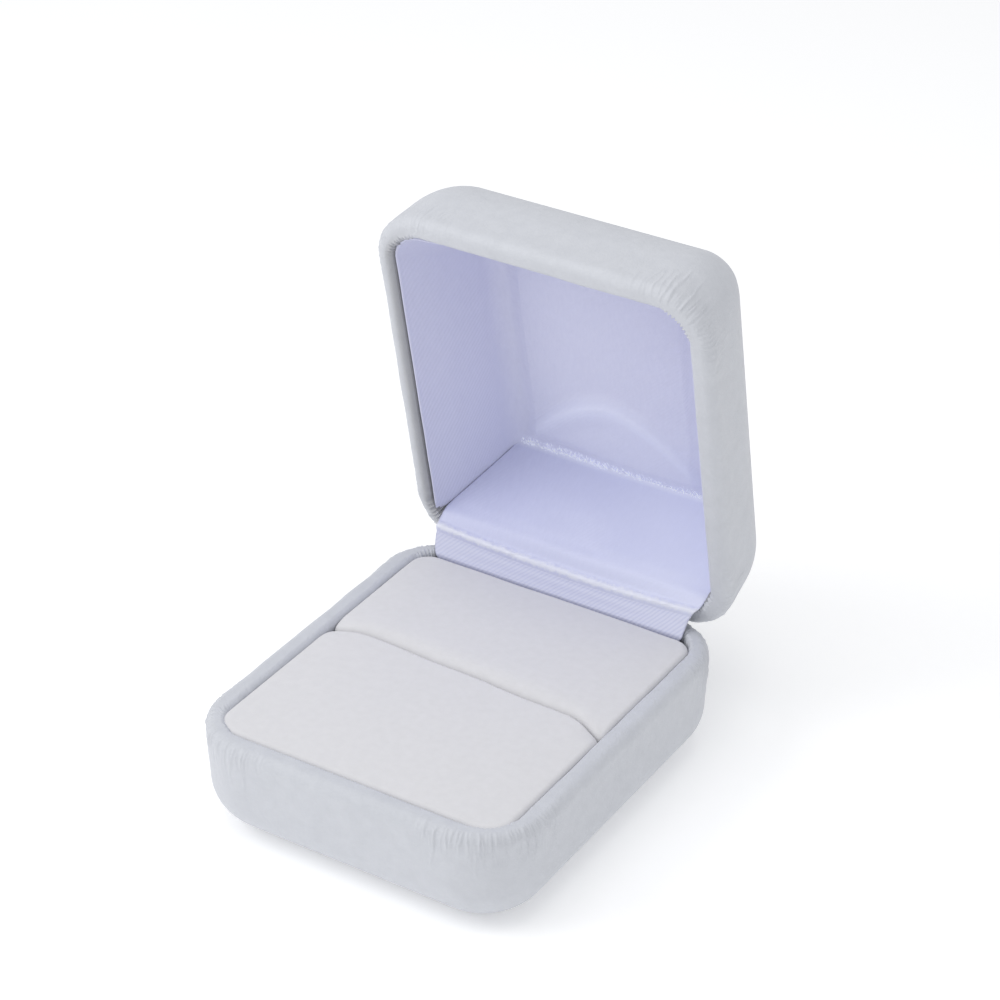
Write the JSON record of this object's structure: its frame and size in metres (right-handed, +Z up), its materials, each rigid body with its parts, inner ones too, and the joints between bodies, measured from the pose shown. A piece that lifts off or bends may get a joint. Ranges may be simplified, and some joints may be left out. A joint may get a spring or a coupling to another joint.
{
  "type": "hinged ring box",
  "caption": "Small hinged gift box for a ring: leatherette-covered base with a slotted cushion, and a satin-lined lid that stands open.",
  "frame": {"origin": "centre of the base's flat underside", "axes": "+Z up, +Y towards the hinge at the back, +X along the hinge"},
  "size_m": [0.052, 0.0761, 0.0738],
  "materials": {
    "leatherette": "soft satin white",
    "satin": "satin, cool white",
    "pad_cover": "soft matte warm white",
    "foam": "open foam",
    "shell_plastic": "moulded, unpainted",
    "card": "grey board",
    "hinge_steel": "plated"
  },
  "bodies": {
    "base": {"base_shell": "shell_plastic", "base_wrap": "leatherette", "pad_board": "card", "front_pad_foam": "foam", "front_pad_cover": "pad_cover", "rear_pad_foam": "foam", "rear_pad_cover": "pad_cover", "hinge_base_leaf": "hinge_steel", "hinge_base_rivets": "hinge_steel", "hinge_pin": "hinge_steel", "hinge_spring": "hinge_steel", "satin_flap": "satin"},
    "lid": {"lid_shell": "shell_plastic", "lid_wrap": "leatherette", "lid_panel_card": "card", "lid_panel_foam": "foam", "side_lining_card": "card", "lid_lining_satin": "satin", "flap_card": "card", "hinge_lid_leaf": "hinge_steel", "hinge_lid_rivets": "hinge_steel"}
  },
  "joints": [
    {"name": "lid_hinge", "type": "hinge", "parent": "base", "child": "lid", "pos_m": [0, 0.0286, 0.01595], "axis": [1, 0, 0], "range_deg": [0, 78.6], "deforming": ["satin_flap"]}
  ]
}
